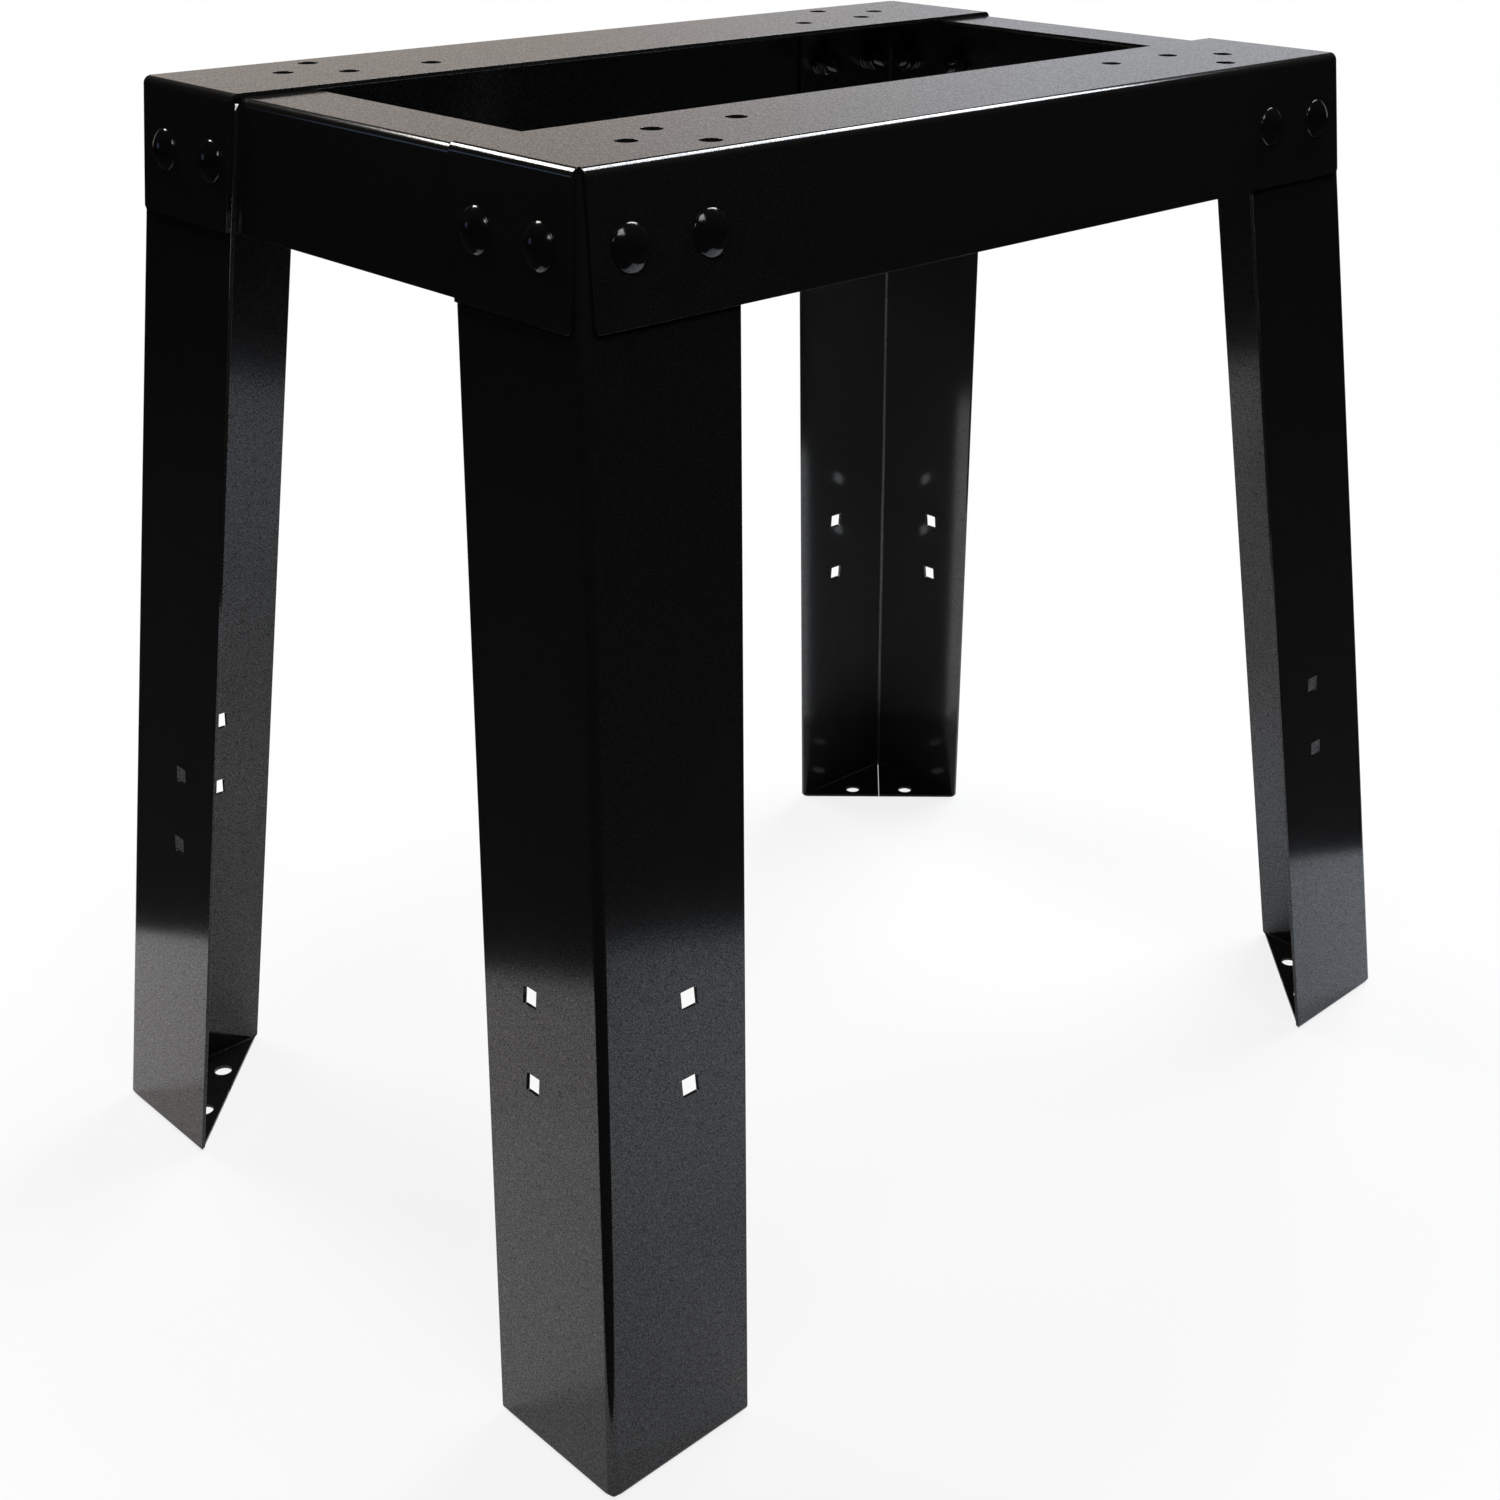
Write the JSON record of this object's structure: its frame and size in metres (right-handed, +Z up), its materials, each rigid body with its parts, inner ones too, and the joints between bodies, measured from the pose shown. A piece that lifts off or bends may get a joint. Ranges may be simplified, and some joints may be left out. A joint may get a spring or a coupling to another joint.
{
  "type": "planer stand",
  "caption": "Open bench-height stand of folded black sheet steel: a rectangular top frame with tool mounting holes, bolted on splayed angle legs.",
  "frame": {"origin": "middle of the footprint, on the floor", "axes": "+Z up; +X along the two long rails, to the right when the front rail faces the viewer; -Y is the front"},
  "size_m": [0.632, 0.448, 0.585],
  "materials": {
    "coated_steel": "semi-gloss black powder coat",
    "black_hardware": "gloss black"
  },
  "bodies": {
    "root": {"front_rail": "coated_steel", "back_rail": "coated_steel", "left_end_rail": "coated_steel", "right_end_rail": "coated_steel", "front_left_leg": "coated_steel", "front_right_leg": "coated_steel", "back_left_leg": "coated_steel", "back_right_leg": "coated_steel", "front_left_bolts": "black_hardware", "front_right_bolts": "black_hardware", "back_left_bolts": "black_hardware", "back_right_bolts": "black_hardware", "front_left_washers": "black_hardware", "front_right_washers": "black_hardware", "back_left_washers": "black_hardware", "back_right_washers": "black_hardware", "front_left_lock_washers": "black_hardware", "front_right_lock_washers": "black_hardware", "back_left_lock_washers": "black_hardware", "back_right_lock_washers": "black_hardware", "front_left_nuts": "black_hardware", "front_right_nuts": "black_hardware", "back_left_nuts": "black_hardware", "back_right_nuts": "black_hardware"}
  },
  "joints": []
}
